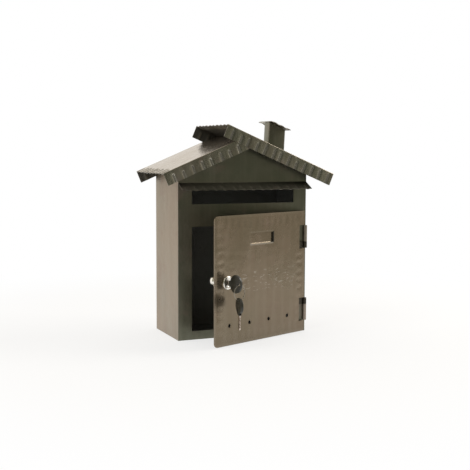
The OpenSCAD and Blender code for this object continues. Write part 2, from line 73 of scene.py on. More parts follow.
class Bench:
    """One mesh being modelled, in edit mode until it is placed or finished."""

    def __init__(self, name: str, add: Callable[..., object], **settings: object) -> None:
        """Adds a primitive at its size and place and enters edit mode.

        Args:
            name: Name of the piece.
            add: The bpy.ops call that adds the primitive.
            **settings: What that call is given.
        """
        leave_edit_mode()
        bpy.ops.object.select_all(action="DESELECT")
        add(**settings)
        self.obj: bpy.types.Object = bpy.context.object
        self.obj.name = name
        self.obj.data.name = name
        bpy.ops.object.transform_apply(location=True, rotation=True, scale=True)
        self.edit()

    @classmethod
    def point(cls, name: str, place: Vector) -> "Bench":
        """Starts a chain from a single point.

        Args:
            name: Name of the piece.
            place: Where the point lies.

        Returns:
            The bench with one selected vertex.
        """
        work = cls(name, bpy.ops.mesh.primitive_plane_add, size=0.001, location=place)
        work.all()
        bpy.ops.mesh.merge(type="CENTER")
        return work

    @classmethod
    def copy_of(cls, name: str, node: str) -> "Bench":
        """Takes a copy of a frame node as closed faces, with its flat faces joined.

        Args:
            name: Name of the piece.
            node: Name of the node.

        Returns:
            The bench with the copy.
        """
        work = cls.__new__(cls)
        source = frame["nodes"][node]
        work.obj = bpy.data.objects.new(name, source.data.copy())
        bpy.context.scene.collection.objects.link(work.obj)
        work.obj.data.materials.clear()
        work.edit()
        work.all()
        bpy.ops.mesh.remove_doubles(threshold=1e-6)
        bpy.ops.mesh.normals_make_consistent(inside=False)
        bpy.ops.mesh.dissolve_limited(angle_limit=math.radians(1))
        return work

    @classmethod
    def lathe(cls, name: str, profile: Sequence[tuple[float, float]], steps: int) -> "Bench":
        """Turns a closed profile round the Z axis.

        Args:
            name: Name of the piece.
            profile: Radius and height of each corner, in order.
            steps: Number of steps in the turn.

        Returns:
            The bench with the closed ring or shaft.
        """
        places = [Vector((radius, 0, height)) for radius, height in profile]
        work = cls.point(name, places[0])
        for before, after in zip(places, places[1:]):
            work.extrude(after - before)
        if (places[0] - places[-1]).length > 1e-7:
            work.edit()
            work.pick(lambda p: min((p - places[0]).length, (p - places[-1]).length) < 1e-6)
            bpy.ops.mesh.edge_face_add()
        work.all()
        work.spin(math.tau, Vector(), UP, steps)
        work.all()
        bpy.ops.mesh.remove_doubles(threshold=2e-6)
        bpy.ops.mesh.normals_make_consistent(inside=False)
        return work

    def alone(self) -> None:
        """Makes this the only selected object, in object mode."""
        leave_edit_mode()
        bpy.ops.object.select_all(action="DESELECT")
        self.obj.select_set(True)
        bpy.context.view_layer.objects.active = self.obj

    def edit(self) -> None:
        """Enters edit mode on this mesh alone."""
        self.alone()
        bpy.ops.object.mode_set(mode="EDIT")
        bpy.ops.mesh.select_mode(type="VERT")

    def pick(self, test: Test, kind: str = "VERT") -> int:
        """Selects what passes a test of its place.

        Args:
            test: Says whether a vertex, or the middle of an edge or face, is meant.
            kind: VERT, EDGE or FACE.

        Returns:
            How many were picked.
        """
        bpy.ops.mesh.select_mode(type=kind)
        bpy.ops.mesh.select_all(action="DESELECT")
        mesh = bmesh.from_edit_mesh(self.obj.data)
        found = 0
        items = {"VERT": mesh.verts, "EDGE": mesh.edges, "FACE": mesh.faces}[kind]
        for item in items:
            if kind == "VERT":
                middle = item.co
            elif kind == "EDGE":
                middle = (item.verts[0].co + item.verts[1].co) / 2
            else:
                middle = item.calc_center_median()
            if test(middle):
                item.select_set(True)
                found += 1
        mesh.select_flush_mode()
        bmesh.update_edit_mesh(self.obj.data, loop_triangles=False, destructive=False)
        return found

    def pick_edges(self, test: Callable[[bmesh.types.BMEdge], bool]) -> int:
        """Selects the edges that pass a test of the edge itself.

        Args:
            test: Says whether an edge is meant.

        Returns:
            How many were picked.
        """
        bpy.ops.mesh.select_mode(type="EDGE")
        bpy.ops.mesh.select_all(action="DESELECT")
        mesh = bmesh.from_edit_mesh(self.obj.data)
        mesh.normal_update()
        found = [edge for edge in mesh.edges if test(edge)]
        for edge in found:
            edge.select_set(True)
        bmesh.update_edit_mesh(self.obj.data, loop_triangles=False, destructive=False)
        return len(found)

    def all(self) -> None:
        """Selects the whole mesh."""
        bpy.ops.mesh.select_all(action="SELECT")

    def extrude(self, move: Vector, count: int = 1) -> None:
        """Extrudes the selection in equal steps.

        Args:
            move: The whole way.
            count: Number of steps.
        """
        step = {"value": tuple(move / count)}
        for _ in range(count):
            bpy.ops.mesh.extrude_region_move(TRANSFORM_OT_translate=step)

    def spin(self, angle: float, centre: Vector, axis: Vector, steps: int) -> None:
        """Extrudes the selection round an axis, by the right-hand rule."""
        bpy.ops.mesh.spin(
            steps=steps, angle=-angle, center=tuple(centre), axis=tuple(axis), use_auto_merge=False
        )

    def move(self, way: Vector, reach: float = 0.0) -> None:
        """Moves the selection, and what lies within reach of it by less and less.

        Args:
            way: How far the selection goes.
            reach: How far from it the sheet gives way.
        """
        bpy.ops.transform.translate(
            value=tuple(way),
            use_proportional_edit=reach > 0,
            proportional_edit_falloff="SMOOTH",
            proportional_size=max(reach, 1e-6),
        )

    def scale(self, factors: Vector, centre: Vector) -> None:
        """Scales the selection about a point."""
        bpy.ops.transform.resize(value=tuple(factors), center_override=tuple(centre))

    def bisect(self, at: Vector, normal: Vector, clear: bool = True, fill: bool = False) -> None:
        """Cuts the whole mesh by a plane.

        Args:
            at: A point of the plane.
            normal: The plane's normal.
            clear: Whether what lies on the normal's side is removed.
            fill: Whether the cut is closed.
        """
        self.all()
        bpy.ops.mesh.bisect(
            plane_co=tuple(at), plane_no=tuple(normal), clear_outer=clear, use_fill=fill
        )

    def bevel(self, width: float, segments: int = 3, profile: float = 0.5) -> None:
        """Bevels the selected edges."""
        bpy.ops.mesh.bevel(
            offset=width, segments=segments, profile=profile, affect="EDGES", clamp_overlap=True
        )

    def face_out(self, place: Vector, normal: Vector) -> None:
        """Makes the normals agree, so that the face nearest to a place faces a way.

        Args:
            place: A point near that face.
            normal: The way that it faces.
        """
        self.all()
        bpy.ops.mesh.normals_make_consistent(inside=False)
        mesh = bmesh.from_edit_mesh(self.obj.data)
        nearest = min(mesh.faces, key=lambda f: (f.calc_center_median() - place).length)
        if nearest.normal.dot(normal) < 0:
            bpy.ops.mesh.flip_normals()

    def record_depth(self, name: str, rest: Sequence[Vector], full: float) -> None:
        """Stores how deep each vertex was beaten in, from 0 to 1, as an attribute.

        Args:
            name: Name of the attribute.
            rest: The vertices' places before.
            full: Depth that counts as 1.
        """
        leave_edit_mode()
        layer = self.obj.data.attributes.new(name, "FLOAT", "POINT")
        for vertex, before in zip(self.obj.data.vertices, rest):
            layer.data[vertex.index].value = min(1.0, (vertex.co - before).length / full)

    def record(self, name: str, value: Callable[[Vector], float]) -> None:
        """Stores a value worked out from each vertex's place as an attribute.

        Args:
            name: Name of the attribute.
            value: Gives the value at a place.
        """
        leave_edit_mode()
        layer = self.obj.data.attributes.new(name, "FLOAT", "POINT")
        for vertex in self.obj.data.vertices:
            layer.data[vertex.index].value = value(vertex.co)

    def places(self) -> list[Vector]:
        """Returns where each vertex lies now."""
        leave_edit_mode()
        found = [vertex.co.copy() for vertex in self.obj.data.vertices]
        self.edit()
        return found

    def coat(self, number: int) -> None:
        """Gives the selected faces one of the piece's further finishes, by its number."""
        mesh = bmesh.from_edit_mesh(self.obj.data)
        for face in mesh.faces:
            if face.select:
                face.material_index = number
        bmesh.update_edit_mesh(self.obj.data)

    def modifier(self, kind: str, **settings: object) -> None:
        """Adds a modifier and applies it."""
        self.alone()
        made = self.obj.modifiers.new(kind.title(), kind)
        for name, value in settings.items():
            setattr(made, name, value)
        bpy.ops.object.modifier_apply(modifier=made.name)

    def cut(self, tool: "Bench", operation: str = "DIFFERENCE") -> None:
        """Cuts this piece by another one, which is used up."""
        self.modifier("BOOLEAN", object=tool.obj, operation=operation, solver="EXACT")
        bpy.data.objects.remove(tool.obj)

    def join(self, other: "Bench") -> None:
        """Takes another piece into this mesh as it is."""
        self.alone()
        other.obj.select_set(True)
        bpy.ops.object.join()

    def place(self, matrix: Matrix) -> None:
        """Puts the mesh where a frame of its own lies, with the object at the origin."""
        self.alone()
        self.obj.matrix_world = matrix
        bpy.ops.object.transform_apply(location=True, rotation=True, scale=True)

    def done(self, body: str, slot: str, finish: bpy.types.Material, *nodes: str,
             smooth: float = 30.0, coats: Sequence[bpy.types.Material] = ()) -> bpy.types.Object:
        """Finishes the piece and hands it to its body.

        Args:
            body: Body of the frame that it rides on.
            slot: A material slot's name; not used.
            finish: Its material.
            *nodes: The frame's nodes that it stands for.
            smooth: Angle in degrees under which edges are shaded smooth.
            coats: The materials of the faces that were given a further coat.

        Returns:
            The finished object.
        """
        self.alone()
        bpy.ops.object.shade_smooth_by_angle(angle=math.radians(smooth), keep_sharp_edges=False)
        # Clearing the materials sets every face back to the first one
        numbers = [face.material_index for face in self.obj.data.polygons]
        self.obj.data.materials.clear()
        for coat in (finish, *coats):
            self.obj.data.materials.append(coat)
        self.obj.data.polygons.foreach_set("material_index", numbers)
        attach(self.obj, body)
        if nodes:
            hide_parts(*nodes)
        LOG.info("%s: %d faces", self.obj.name, len(self.obj.data.polygons))
        return self.obj


def leave_edit_mode() -> None:
    """Goes back to object mode, if an object is being edited."""
    if bpy.context.object is not None and bpy.context.object.mode != "OBJECT":
        bpy.ops.object.mode_set(mode="OBJECT")


def near(value: float, target: float, margin: float = 1e-5) -> bool:
    """Says whether two lengths agree within a margin."""
    return abs(value - target) < margin


def joint_place(name: str) -> Vector:
    """Returns the place of a joint of the frame."""
    return Vector(next(joint for joint in frame["joints"] if joint["name"] == name)["pos_m"])


def block(name: str, low: Vector, high: Vector) -> Bench:
    """Starts a block between two corners.

    Args:
        name: Name of the piece.
        low: Its lowest corner.
        high: Its highest corner.

    Returns:
        The bench with the block.
    """
    return Bench(name, bpy.ops.mesh.primitive_cube_add, size=1.0, location=(low + high) / 2,
                 scale=tuple(high - low))


def rod(name: str, middle: Vector, radius: float, length: float, vertices: int = 40) -> Bench:
    """Starts a rod that runs along Y.

    Args:
        name: Name of the piece.
        middle: Its middle.
        radius: Its radius.
        length: Its length.
        vertices: Number of its sides.

    Returns:
        The bench with the rod.
    """
    return Bench(name, bpy.ops.mesh.primitive_cylinder_add, vertices=vertices, radius=radius,
                 depth=length, location=middle, rotation=(math.radians(90), 0, 0))


# ---------------------------------------------------------------------------
# Shader maths
# ---------------------------------------------------------------------------


class Sock:
    """A node's output socket that takes part in Python expressions."""

    def __init__(self, tree: bpy.types.NodeTree, socket: bpy.types.NodeSocket) -> None:
        """Wraps a socket of a tree."""
        self.tree = tree
        self.socket = socket

    def _math(self, operation: str, *values: "Sock | float") -> "Sock":
        """Adds a Math node.

        Args:
            operation: The node's operation.
            *values: Its inputs.

        Returns:
            Its output.
        """
        node = self.tree.nodes.new("ShaderNodeMath")
        node.operation = operation
        for socket, value in zip(node.inputs, values):
            if isinstance(value, Sock):
                self.tree.links.new(value.socket, socket)
            else:
                socket.default_value = value
        return Sock(self.tree, node.outputs[0])

    def __add__(self, other: "Sock | float") -> "Sock":
        """Adds."""
        return self._math("ADD", self, other)

    def __mul__(self, other: "Sock | float") -> "Sock":
        """Multiplies."""
        return self._math("MULTIPLY", self, other)

    def __sub__(self, other: "Sock | float") -> "Sock":
        """Subtracts."""
        return self._math("SUBTRACT", self, other)

    def above(self, low: float, high: float) -> "Sock":
        """Rises smoothly from 0 at low to 1 at high.

        Args:
            low: Value at which the result starts to rise.
            high: Value at which it is 1.

        Returns:
            The result.
        """
        node = self.tree.nodes.new("ShaderNodeMapRange")
        node.interpolation_type = "SMOOTHSTEP"
        self.tree.links.new(self.socket, node.inputs["Value"])
        node.inputs["From Min"].default_value = low
        node.inputs["From Max"].default_value = high
        return Sock(self.tree, node.outputs["Result"])


Colour = tuple[float, float, float]


class Surface:
    """A material being written: its tree, its shader and its coordinates."""

    def __init__(self, name: str) -> None:
        """Starts a material with a Principled shader and Object coordinates."""
        self.material = bpy.data.materials.new(name)
        self.material.use_nodes = True
        self.tree = self.material.node_tree
        self.tree.nodes.clear()
        self.shader = self.tree.nodes.new("ShaderNodeBsdfPrincipled")
        output = self.tree.nodes.new("ShaderNodeOutputMaterial")
        self.tree.links.new(self.shader.outputs[0], output.inputs["Surface"])
        self.coords = self.node("ShaderNodeTexCoord").outputs["Object"]

    def node(self, kind: str, settings: dict[str, object] | None = None,
             inputs: dict[str, object] | None = None) -> bpy.types.Node:
        """Adds a node.

        Args:
            kind: The node's type.
            settings: Its properties, set first.
            inputs: Values or links of its sockets, by name or number.

        Returns:
            The node.
        """
        made = self.tree.nodes.new(kind)
        for key, value in (settings or {}).items():
            setattr(made, key, value)
        for key, value in (inputs or {}).items():
            socket = made.inputs[key]
            if isinstance(value, Sock):
                self.tree.links.new(value.socket, socket)
            elif isinstance(value, bpy.types.NodeSocket):
                self.tree.links.new(value, socket)
            else:
                socket.default_value = value
        return made

    def noise(self, scale: float, detail: float = 3.0, roughness: float = 0.5,
              stretch: Colour = (1.0, 1.0, 1.0), shift: float = 0.0) -> Sock:
        """Adds noise over the object.

        Args:
            scale: Features in a metre.
            detail: Number of finer layers.
            roughness: Strength of the finer layers.
            stretch: Scale along each axis.
            shift: Moves the pattern, so that two of them differ.

        Returns:
            The noise, around 0.5.
        """
        place = self.node(
            "ShaderNodeMapping", None,
            {"Vector": self.coords, "Scale": stretch, "Location": (shift, shift, shift)},
        )
        made = self.node(
            "ShaderNodeTexNoise", {"noise_dimensions": "3D"},
            {"Vector": place.outputs[0], "Scale": scale, "Detail": detail, "Roughness": roughness},
        )
        return Sock(self.tree, made.outputs[0])

    def attribute(self, name: str) -> Sock:
        """Returns a mesh attribute."""
        made = self.node("ShaderNodeAttribute", {"attribute_name": name})
        return Sock(self.tree, made.outputs["Fac"])

    def mix(self, share: "Sock | float", first: object, second: object) -> bpy.types.NodeSocket:
        """Mixes two colours.

        Args:
            share: Share of the second one.
            first: A colour or a colour socket.
            second: The other one.

        Returns:
            The mixed colour's socket.
        """
        made = self.node("ShaderNodeMix", {"data_type": "RGBA"})
        if isinstance(share, Sock):
            self.tree.links.new(share.socket, made.inputs[0])
        else:
            made.inputs[0].default_value = share
        for number, colour in ((6, first), (7, second)):
            if isinstance(colour, bpy.types.NodeSocket):
                self.tree.links.new(colour, made.inputs[number])
            else:
                made.inputs[number].default_value = (*colour, 1.0)
        return made.outputs[2]

    def bump(self, height: Sock, depth: float) -> None:
        """Bumps the shader's normal by a height, given in metres at 1."""
        previous = self.shader.inputs["Normal"].links
        made = self.node("ShaderNodeBump", None,
                         {"Height": height, "Distance": depth, "Strength": 1.0})
        if previous:
            self.tree.links.new(previous[0].from_socket, made.inputs["Normal"])
        self.tree.links.new(made.outputs[0], self.shader.inputs["Normal"])

    def feed(self, socket: str, value: object) -> None:
        """Sets a socket of the shader to a value or a link."""
        if isinstance(value, Sock):
            self.tree.links.new(value.socket, self.shader.inputs[socket])
        elif isinstance(value, bpy.types.NodeSocket):
            self.tree.links.new(value, self.shader.inputs[socket])
        elif isinstance(value, tuple):
            self.shader.inputs[socket].default_value = (*value, 1.0)
        else:
            self.shader.inputs[socket].default_value = value


@dataclass(frozen=True)
class AntiquedPaint:
    """Satin metallic paint, mottled and streaked, paler in its beaten dents, where rubbed paint and a
    painted highlight are laid on, and darkened by dirt and painted shade.
    """

    name: str
    base: Colour
    shade: Colour
    blotch: Colour
    # The rubbed tone also paints the beaten dents, at the share given by wear: rubbed paint and a
    # painted highlight.
    rubbed: Colour
    metallic: float = 0.85
    roughness: float = 0.36
    wear: float = 0.7
    blotches: float = 0.42
    grain: float = 0.00010
    specks: float = 0.25
    bare: Colour = (0.55, 0.51, 0.44)
    # Dark tone and its share: dirt in some places, painted shade in others, as the mask gives.
    soil_and_shade_tone: Colour = (0.028, 0.026, 0.020)
    soil_and_shade_share: float = 1.0

    def material(self) -> bpy.types.Material:
        """Returns the material."""
        paint = Surface(self.name)
        clouds = paint.noise(14, 3, 0.55).above(0.38, 0.66)
        mottle = paint.noise(150, 4, 0.6, shift=3.1)
        patches = paint.noise(32, 4, 0.62, shift=7.7).above(0.54, 0.70)
        streaks = paint.noise(70, 3, 0.6, stretch=(1.0, 1.0, 0.06), shift=9.3).above(0.4, 0.72)
        speck = paint.noise(620, 2, 0.5, shift=1.3).above(0.66, 0.74)
        flecks = paint.noise(190, 3, 0.6, stretch=(0.6, 0.6, 1.7), shift=4.4).above(0.57, 0.66)
        depth = paint.attribute("beaten")
        label = paint.attribute("rubbed")
        colour = paint.mix(clouds, self.base, self.shade)
        colour = paint.mix(patches * self.blotches, colour, self.blotch)
        colour = paint.mix(streaks * 0.22, colour, self.rubbed)
        colour = paint.mix(speck * self.specks, colour, self.rubbed)
        # Beaten dents are painted paler: rubbed paint, and a painted highlight on the dents' flanks.
        colour = paint.mix(depth.above(0.22, 0.88) * self.wear, colour, self.rubbed)
        colour = paint.mix(label * flecks * 0.55, colour, self.bare)
        # Painted highlight on the card recess's bottom wall and top lip, and rubbed paint with a
        # painted highlight along the door's rim.
        colour = paint.mix(paint.attribute("edge_highlight_and_wear") * 0.6, colour, self.bare)
        # Darkened by a mask: dirt low on the door and round its vents; painted shade on the walls'
        # upper parts, the drip hood and the card recess's side wall.
        shade_and_soil = paint.attribute("shade_and_soil") * self.soil_and_shade_share
        colour = paint.mix(shade_and_soil * (mottle * 0.3 + 0.8), colour, self.soil_and_shade_tone)
        rough = (mottle - 0.5) * (self.grain * 800) + clouds * 0.05 + patches * 0.05 + self.roughness
        paint.feed("Base Color", colour)
        paint.feed("Roughness", rough - depth * 0.05 + shade_and_soil * 0.25)
        paint.feed("Metallic", self.metallic)
        paint.bump(paint.noise(55, 2, 0.4, shift=5.0), 0.0005)
        paint.bump(mottle, self.grain)
        paint.bump(paint.noise(900, 2, 0.5, shift=2.2), self.grain / 4)
        return paint.material


@dataclass(frozen=True)
class Plating:
    """Plated metal with faint handling marks."""

    name: str
    colour: Colour
    dull: Colour
    roughness: float
    grain: float = 0.08

    def material(self) -> bpy.types.Material:
        """Returns the material."""
        metal = Surface(self.name)
        stain = metal.noise(90, 4, 0.6).above(0.45, 0.75)
        fine = metal.noise(1400, 3, 0.6, stretch=(1.0, 1.0, 0.35), shift=2.0)
        metal.feed("Base Color", metal.mix(stain * 0.7, self.colour, self.dull))
        metal.feed("Roughness", stain * 0.12 + (fine - 0.5) * self.grain + self.roughness)
        metal.feed("Metallic", 1.0)
        metal.bump(fine, 0.00001)
        return metal.material


@dataclass(frozen=True)
class MouldedPlastic:
    """Dark moulded plastic, rubbed paler in places."""

    name: str
    colour: Colour
    worn: Colour
    roughness: float = 0.42

    def material(self) -> bpy.types.Material:
        """Returns the material."""
        plastic = Surface(self.name)
        wear = plastic.noise(160, 4, 0.6).above(0.5, 0.72)
        grain = plastic.noise(2600, 2, 0.5, shift=4.0)
        plastic.feed("Base Color", plastic.mix(wear * 0.5, self.colour, self.worn))
        plastic.feed("Roughness", wear * 0.12 + (grain - 0.5) * 0.1 + self.roughness)
        plastic.bump(grain, 0.00002)
        return plastic.material


class Finish(Enum):
    """The finishes of the mailbox's surfaces."""

    # A darker, greener copy of the wall paint for the front panel, gable, drip hood and chimney:
    # painted shade with a painted reflection of the dim room.
    GRAPHITE = AntiquedPaint(
        "shaded_front_coat", base=(0.150, 0.152, 0.110), shade=(0.180, 0.170, 0.128),
        blotch=(0.23, 0.165, 0.14), rubbed=(0.30, 0.28, 0.23), roughness=0.33,
    )
    WALL = AntiquedPaint(
        "wall_coat", base=(0.285, 0.233, 0.166), shade=(0.325, 0.256, 0.186),
        blotch=(0.32, 0.23, 0.185), rubbed=(0.42, 0.365, 0.28), roughness=0.32,
    )
    ROOF = AntiquedPaint(
        "roof_coat", base=(0.29, 0.25, 0.195), shade=(0.33, 0.28, 0.22),
        blotch=(0.33, 0.25, 0.215), rubbed=(0.50, 0.47, 0.40), roughness=0.19, grain=0.00004,
    )
    # A darker copy of the roof paint for the fascias and the chimney cap: painted shade. Its pale
    # rubbed tone is partly rubbed paint and partly a painted highlight on the beaten streaks.
    FASCIA = AntiquedPaint(
        "fascia_shade_and_highlight_coat", base=(0.235, 0.225, 0.175), shade=(0.27, 0.24, 0.19),
        blotch=(0.29, 0.225, 0.20), rubbed=(0.72, 0.70, 0.61), roughness=0.25, wear=1.0,
        blotches=0.75,
    )
    BRONZE = AntiquedPaint(
        "bronze_coat", base=(0.240, 0.194, 0.133), shade=(0.262, 0.206, 0.145),
        blotch=(0.268, 0.200, 0.150), rubbed=(0.36, 0.31, 0.24), roughness=0.24, wear=0.10,
        grain=0.00001, specks=0.0,
    )
    HINGE = AntiquedPaint(
        "hinge_coat", base=(0.30, 0.265, 0.215), shade=(0.34, 0.285, 0.235),
        blotch=(0.32, 0.25, 0.21), rubbed=(0.44, 0.40, 0.34), roughness=0.34,
    )
    # Near-black coat on the door's straps, seen through the hinge notches: painted shade in the gap.
    STRAP = AntiquedPaint(
        "strap_shade_coat", base=(0.048, 0.044, 0.033), shade=(0.066, 0.058, 0.045),
        blotch=(0.075, 0.055, 0.045), rubbed=(0.20, 0.18, 0.14), roughness=0.40,
    )
    INSIDE = AntiquedPaint(
        "inside_coat", base=(0.150, 0.158, 0.158), shade=(0.165, 0.170, 0.165),
        blotch=(0.175, 0.165, 0.155), rubbed=(0.24, 0.24, 0.23), metallic=0.0, roughness=0.5,
        soil_and_shade_share=0.0,
    )
    # Dark coat on the roof's underside and the fascias' inner faces: painted shade.
    UNDER = AntiquedPaint(
        "underside_shade_coat", base=(0.098, 0.094, 0.084), shade=(0.112, 0.104, 0.092),
        blotch=(0.120, 0.098, 0.092), rubbed=(0.20, 0.185, 0.15), metallic=0.25, roughness=0.46,
    )
    BLADE = Plating("blade_plate", colour=(0.66, 0.57, 0.50), dull=(0.50, 0.43, 0.37),
                    roughness=0.34)
    WIRE = Plating("wire_plate", colour=(0.34, 0.31, 0.26), dull=(0.22, 0.20, 0.165),
                   roughness=0.40)
    NICKEL = Plating("nickel_plate", colour=(0.86, 0.83, 0.77), dull=(0.62, 0.58, 0.52), roughness=0.16)
    ZINC = Plating("zinc_plate", colour=(0.62, 0.61, 0.58), dull=(0.42, 0.40, 0.37), roughness=0.34,
                   grain=0.16)
    PLASTIC = MouldedPlastic("moulded_heads", colour=(0.026, 0.025, 0.017),
                             worn=(0.052, 0.050, 0.036), roughness=0.36)

    @property
    def made(self) -> bpy.types.Material:
        """The finish's material, made when first asked for."""
        found = bpy.data.materials.get(self.value.name)
        return found or self.value.material()


def dress(finish: Finish, slot: str, *nodes: str) -> None:
    """Gives frame nodes that keep their shape a finish.

    Args:
        finish: The finish.
        slot: A material slot's name; not used.
        *nodes: Names of the nodes.
    """
    for node in nodes:
        obj = frame["nodes"][node]
        obj.data.materials.clear()
        obj.data.materials.append(finish.made)
        LOG.info("%s keeps its shape", node)


# ---------------------------------------------------------------------------
# Beaten edges
# ---------------------------------------------------------------------------


@dataclass
class Hammer:
    """Beats dents into a sheet, square to one of its edges, a pitch apart."""

    pitch: float = 0.017
    length: float = 0.014
    depth: float = 0.0018
    reach: float = 0.0047
    slip: float = 0.0011
    inset: float = 0.0
    lean: float = 0.16
    place_play: float = 0.08
    length_play: tuple[float, float] = (0.82, 1.12)
    depth_play: tuple[float, float] = (0.75, 1.1)
    seed: int = 5
    draw: random.Random = field(init=False)

    def __post_init__(self) -> None:
        """Seeds the hammer's unevenness."""
        self.draw = random.Random(self.seed)

    def row(self, work: Bench, start: Vector, end: Vector, inward: Vector, down: Vector,
            snap: float = 0.0) -> None:
        """Beats a row of dents along an edge.

        Args:
            work: The sheet.
            start: Where the edge begins.
            end: Where it ends.
            inward: From the edge into the sheet, in its plane, a unit long.
            down: The way that the dents go, a unit long.
            snap: Distance between the sheet's columns, if the dents stand on them.
        """
        along = end - start
        count = max(1, round(along.length / self.pitch))
        for number in range(count):
            share = (number + 0.5 + self.draw.uniform(-self.place_play, self.place_play)) / count
            reach = along.length * share
            if snap:
                reach = round(reach / snap) * snap
            foot = start + along.normalized() * reach + inward * self.inset
            lean = along.normalized() * self.draw.uniform(-1, 1) * self.length * self.lean
            head = foot + inward * self.length * self.draw.uniform(*self.length_play) + lean
            self.dent(work, foot, head, down * self.depth * self.draw.uniform(*self.depth_play))

    def dent(self, work: Bench, foot: Vector, head: Vector, way: Vector) -> None:
        """Beats one dent.

        Args:
            work: The sheet.
            foot: Where the dent begins.
            head: Where it ends.
            way: How deep it goes.
        """
        line = head - foot
        middle = (head + foot) / 2
        span = line.length / 2 + self.slip

        def on_line(place: Vector) -> bool:
            """Says whether a vertex lies on the dent's middle line."""
            if (place - middle).length > span:
                return False
            share = min(1.0, max(0.0, (place - foot).dot(line) / line.length_squared))
            return (place - foot - line * share).length < self.slip

        if work.pick(on_line):
            work.move(way, self.reach)


# ---------------------------------------------------------------------------
# Roof
# ---------------------------------------------------------------------------


@dataclass
class RoofLines:
    """Where both roof sheets lie, read off the frame."""

    slope: float = math.radians(22.7)
    sheet: float = 0.0008

    def __post_init__(self) -> None:
        """Works out the fascias' height, the sheets' runs and the ridge."""
        low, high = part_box("roof_right")
        self.sin, self.cos = math.sin(self.slope), math.cos(self.slope)
        wide, tall = high.x - low.x, high.z - low.z
        squares = self.cos ** 2 - self.sin ** 2
        self.right_run = (wide * self.cos - tall * self.sin) / squares
        self.fascia = (tall * self.cos - wide * self.sin) / squares
        self.right_top = Vector((low.x + self.fascia * self.sin, 0, high.z))
        self.right_y = (low.y, high.y)
        low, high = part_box("roof_left")
        self.left_y = (low.y, high.y)
        self.left_low = Vector((low.x, 0, low.z + self.fascia * self.cos))
        rise = self.right_top.z - self.left_low.z
        across = self.left_low.x - self.right_top.x
        # The ridge is where the lines of both top faces meet
        run = (across + rise / math.tan(self.slope)) / 2
        self.ridge = self.right_top + Vector((run, 0, -run * math.tan(self.slope)))
        self.right = Matrix.Translation(self.ridge) @ Matrix.Rotation(self.slope, 4, "Y")
        self.left = Matrix.Translation(self.ridge) @ Matrix.Rotation(-self.slope, 4, "Y")
        self.right_up = Vector((self.sin, 0, self.cos))
        self.left_up = Vector((-self.sin, 0, self.cos))


@dataclass
class Roof:
    """The two roof sheets with their fascias, hammered along every free edge."""

    lines: RoofLines
    fold: float = 0.0011
    grid: float = 0.0018
    gap_columns: int = 3
    fold_steps: int = 4
    edge_depth: float = 0.0019
    edge_length: float = 0.013
    edge_reach: float = 0.0062
    full_depth: float = 0.0010
    left_hammer: Hammer = field(default_factory=lambda: Hammer(
        length=0.0115, depth=0.0012, reach=0.0040, slip=0.0012, lean=0.0))
    right_hammer: Hammer = field(default_factory=lambda: Hammer(
        pitch=0.0162, length=0.0155, depth=0.00095, reach=0.0048, slip=0.0011, lean=0.05, seed=7))

    def build(self) -> None:
        """Builds both sheets."""
        over = (self.lines.ridge - self.lines.right_top).length
        self.sheet_piece("roof_right_beaten", -over, self.lines.right_run - over, self.lines.right_y,
                         self.lines.right, "roof_right", self.right_hammer, ends=(True, True))
        run = (self.lines.ridge - self.lines.left_low).length
        self.sheet_piece("roof_left_beaten", -run, 0.0, self.lines.left_y, self.lines.left,
                         "roof_left", self.left_hammer, ends=(True, False))

    def sheet_piece(self, name: str, x0: float, x1: float, span: tuple[float, float],
                    matrix: Matrix, node: str, hammer: Hammer, ends: tuple[bool, bool]) -> None:
        """Folds, hammers and places one sheet. X runs along the slope, Z is square to it.

        Args:
            name: Name of the piece.
            x0: Where the sheet begins.
            x1: Where it ends.
            span: Its front and back.
            matrix: Its frame.
            node: The frame's node that it stands for.
            hammer: Beats the fascias.
            ends: Whether the edge at x0 and that at x1 are hammered.
        """
        y0, y1 = span
        r, h = self.fold, self.lines.fascia
        rows = max(4, round((h - r) / self.grid))
        columns = round((x1 - x0) / self.grid)
        step = (x1 - x0) / columns
        work = Bench.point(name, Vector((x0, y0, -h)))
        work.extrude(UP * (h - r), rows)
        work.spin(math.radians(-90), Vector((x0, y0 + r, -r)), RIGHT, self.fold_steps)
        work.extrude(BACK * (y1 - y0 - 2 * r), round((y1 - y0) / self.grid))
        work.spin(math.radians(-90), Vector((x0, y1 - r, -r)), RIGHT, self.fold_steps)
        work.extrude(-UP * (h - r), rows)
        work.all()
        work.extrude(RIGHT * (x1 - x0), columns)
        work.face_out(Vector(((x0 + x1) / 2, (y0 + y1) / 2, 0)), UP)
        rest = work.places()
        for y, down in ((y0, BACK), (y1, -BACK)):
            start = Vector((x0 + self.gap_columns * step, y, -h))
            hammer.row(work, start, Vector((x1 - step, y, -h)), UP, down, snap=step)
        edge = Hammer(depth=self.edge_depth, reach=self.edge_reach, length=self.edge_length,
                      seed=hammer.seed + 3)
        if ends[0]:
            edge.row(work, Vector((x0, y0 + r, 0)), Vector((x0, y1 - r, 0)), RIGHT, -UP)
        if ends[1]:
            edge.row(work, Vector((x1, y0 + r, 0)), Vector((x1, y1 - r, 0)), -RIGHT, -UP)
        work.record_depth("beaten", rest, self.full_depth)
        work.modifier("SOLIDIFY", thickness=self.lines.sheet, offset=-1.0, use_even_offset=True)
        work.edit()
        # The fascias take a darker copy of the roof paint: painted shade.
        work.pick(lambda p: p.z < -r / 2, "FACE")
        work.coat(1)
        # The underside and the fascias' inner faces take a dark coat: painted shade.
        deep = self.lines.sheet * 0.7
        work.pick(lambda p: y0 + deep < p.y < y1 - deep and p.z < -deep, "FACE")
        work.coat(2)
        work.place(matrix)
        if node == "roof_left":
            work.edit()
            work.bisect(self.lines.ridge - self.lines.right_up * self.lines.sheet,
                        self.lines.right_up, fill=True)
        work.done("box", "roof_paint", Finish.ROOF.made, node, smooth=40,
                  coats=(Finish.FASCIA.made, Finish.UNDER.made))


# ---------------------------------------------------------------------------
# Box: gable, drip hood and chimney
# ---------------------------------------------------------------------------


